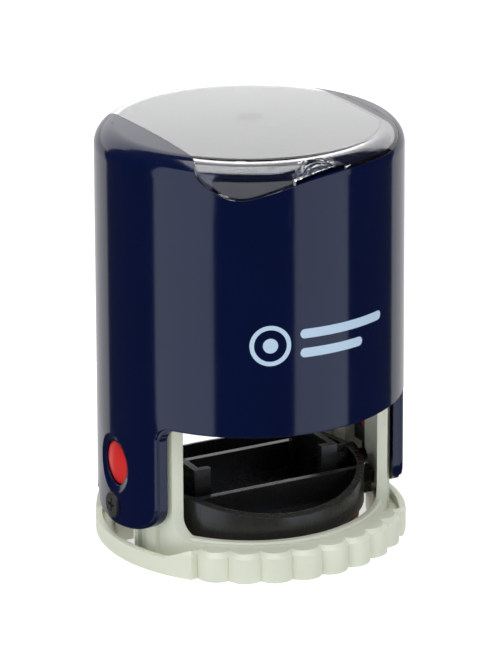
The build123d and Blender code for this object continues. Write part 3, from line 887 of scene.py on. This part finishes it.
@dataclass
class ReturnSpring:
    """Compression spring with closed ends, in two lengths."""

    finishes: Finishes
    wire: float = 1.1 * MM
    mean_radius: float = 7.2 * MM
    turns: float = 7.0
    end_turns: float = 0.9
    split: float = 0.3
    steps_per_turn: int = 56
    sides: int = 14
    tip: float = 0.03
    smooth_angle: float = 80.0

    def height_at(self, share: float, low: float, high: float) -> float:
        """Height of the wire's middle: flat at both ends, even in between.

        Args:
            share: place along the wire, 0 to 1.
            low: height of the lowest middle.
            high: height of the highest middle.

        Returns:
            The height.
        """
        flat = self.end_turns / self.turns
        rise = (high - low) - 2 * self.wire
        if share < flat:
            return low + self.wire * share / flat
        if share > 1 - flat:
            return high - self.wire * (1 - share) / flat
        return low + self.wire + rise * (share - flat) / (1 - 2 * flat)

    def _length(self, name: str, first: float, last: float, low: float, high: float) -> bpy.types.Object:
        """Builds one length of the spring as a closed tube.

        Args:
            name: the piece's name.
            first: share of the wire at which it starts.
            last: share of the wire at which it ends.
            low: height of the spring's lowest wire middle.
            high: height of its highest wire middle.

        Returns:
            The piece.
        """
        steps = int(self.steps_per_turn * self.turns * (last - first))
        up = Vector((0, 0, 1))
        round_wire = [2 * math.pi * k / self.sides for k in range(self.sides)]
        rows = []
        for i in range(steps + 1):
            share = first + (last - first) * i / steps
            angle = 2 * math.pi * self.turns * share
            out = Vector((math.cos(angle), math.sin(angle), 0))
            middle = out * self.mean_radius + up * self.height_at(share, low, high)
            radius = self.wire / 2 * (self.tip if i in (0, steps) else 1.0)
            rows.append([middle + (out * math.cos(t) + up * math.sin(t)) * radius for t in round_wire])
        shape = bmesh.new()
        add_tube(shape, rows)
        made = mesh_object(name, shape, self.finishes.steel, self.smooth_angle)
        return made

    def build(self) -> None:
        """Builds both lengths in place of the CAD spring, which it hides."""
        low_corner, high_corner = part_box("return_spring")
        low, high = low_corner[2] + self.wire / 2, high_corner[2] - self.wire / 2
        lower = self._length("spring_lower", 0.0, self.split, low, high)
        upper = self._length("spring_upper", self.split, 1.0, low, high)
        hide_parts("return_spring")
        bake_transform(lower)
        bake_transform(upper)
        LOG.info("built spring_lower and spring_upper")


# ---- studio ----------------------------------------------------------------------------------------------
@dataclass(frozen=True)
class Panel:
    """Soft panel light that the camera doesn't see.

    Its azimuth is in degrees round from the camera's side, positive to its right, and its distance is from
    the Z axis. Its radiance is 1 for white. It faces a point, or level where that is None.
    """

    name: str
    azimuth: float
    distance: float
    height: float
    size: Span
    radiance: float
    facing: Point | None = None
    tint: Colour = (1.0, 1.0, 1.0)

    def build(self, camera_azimuth: float) -> None:
        """Adds the light.

        Args:
            camera_azimuth: degrees from the front to the camera's side.
        """
        data = bpy.data.lights.new(self.name, "AREA")
        data.shape = "RECTANGLE"
        data.size, data.size_y = self.size
        data.energy = self.radiance * math.pi * self.size[0] * self.size[1]
        data.color = self.tint
        made = bpy.data.objects.new(self.name, data)
        angle = math.radians(camera_azimuth + self.azimuth)
        place = Vector((self.distance * math.sin(angle), -self.distance * math.cos(angle), self.height))
        aim = Vector(self.facing or (0, 0, self.height))
        made.location = place
        made.rotation_euler = (place - aim).to_track_quat("Z", "Y").to_euler()
        made.visible_camera = False
        bpy.context.scene.collection.objects.link(made)


@dataclass
class Studio:
    """Camera, floor and soft lights."""

    camera_at: Point = (-0.2858, -0.5448, 0.2528)
    target: Point = (0.0, 0.0, 0.040)
    roll: float = -0.24
    lens: float = 193.3
    sensor: float = 36.0
    shift: Span = (0.0015, -0.0238)
    camera_azimuth: float = -27.7
    near: float = 0.01
    floor_half: float = 3.0
    floor_shades: tuple[Colour, Colour] = ((0.58, 0.58, 0.58), (0.60, 0.60, 0.60))
    floor_glow: float = 0.62
    room: Colour = (0.05, 0.05, 0.055)
    panels: tuple[Panel, ...] = (
        Panel("left_box", -50.0, 0.9, 0.1, (0.79, 1.3), 1.25, tint=COOL_LIGHT),
        Panel("right_box", 54.5, 0.9, 0.1, (0.72, 1.3), 1.15, tint=COOL_LIGHT),
        Panel("back_low", 180.0, 1.1, -0.25, (2.6, 0.9), 0.72),
        Panel("back_high", 180.0, 1.1, 0.75, (2.9, 1.1), 1.2),
        Panel("top_box", -10.0, 0.25, 1.1, (1.1, 1.1), 3.6, facing=(0, 0, 0.03)),
    )

    def _camera(self) -> None:
        """Adds the camera, which looks at the target and leans by the roll."""
        data = bpy.data.cameras.new("camera")
        data.lens = self.lens
        data.sensor_width = self.sensor
        data.shift_x, data.shift_y = self.shift
        data.clip_start = self.near
        made = bpy.data.objects.new("camera", data)
        bpy.context.scene.collection.objects.link(made)
        back = (Vector(self.camera_at) - Vector(self.target)).normalized()
        right = Vector((0, 0, 1)).cross(back).normalized()
        up = back.cross(right)
        lean = math.radians(self.roll)
        side = right * math.cos(lean) + up * math.sin(lean)
        top = up * math.cos(lean) - right * math.sin(lean)
        turn = Matrix((side, top, back)).transposed().to_4x4()
        made.matrix_world = Matrix.Translation(self.camera_at) @ turn
        bpy.context.scene.camera = made

    def _floor(self) -> None:
        """Adds the pale floor."""
        shape = bmesh.new()
        bmesh.ops.create_grid(shape, x_segments=8, y_segments=8, size=self.floor_half)
        material, wiring, shader = new_material("studio_floor")
        paper = wiring.mix(wiring.noise(400.0, 2.0), *self.floor_shades)
        wiring.link(paper, shader.inputs["Base Color"])
        set_plain(shader, Roughness=0.9, Specular_IOR_Level=0.1, Emission_Strength=self.floor_glow,
                  Emission_Color=(1.0, 1.0, 1.0, 1.0))
        made = mesh_object("floor", shape, material)
        made.visible_glossy = False

    def build(self) -> None:
        """Builds the studio."""
        self._camera()
        self._floor()
        world = bpy.data.worlds.new("studio")
        world.use_nodes = True
        world.node_tree.nodes["Background"].inputs["Color"].default_value = (*self.room, 1.0)
        bpy.context.scene.world = world
        bpy.context.scene.view_settings.view_transform = "Standard"
        for panel in self.panels:
            panel.build(self.camera_azimuth)
        LOG.info("built the studio")


# ---- everything ------------------------------------------------------------------------------------------
def main() -> None:
    """Builds the looks around the frame and reports each piece."""
    logging.basicConfig(level=logging.INFO, format="%(name)s: %(message)s")
    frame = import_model()
    nodes = frame["nodes"]
    finishes = Finishes()
    Studio().build()
    for unit in (FrameUnit(nodes, finishes), DieUnit(nodes, finishes), HousingUnit(nodes, finishes),
                 ReturnSpring(finishes)):
        unit.build()


if __name__ == "__main__":
    main()
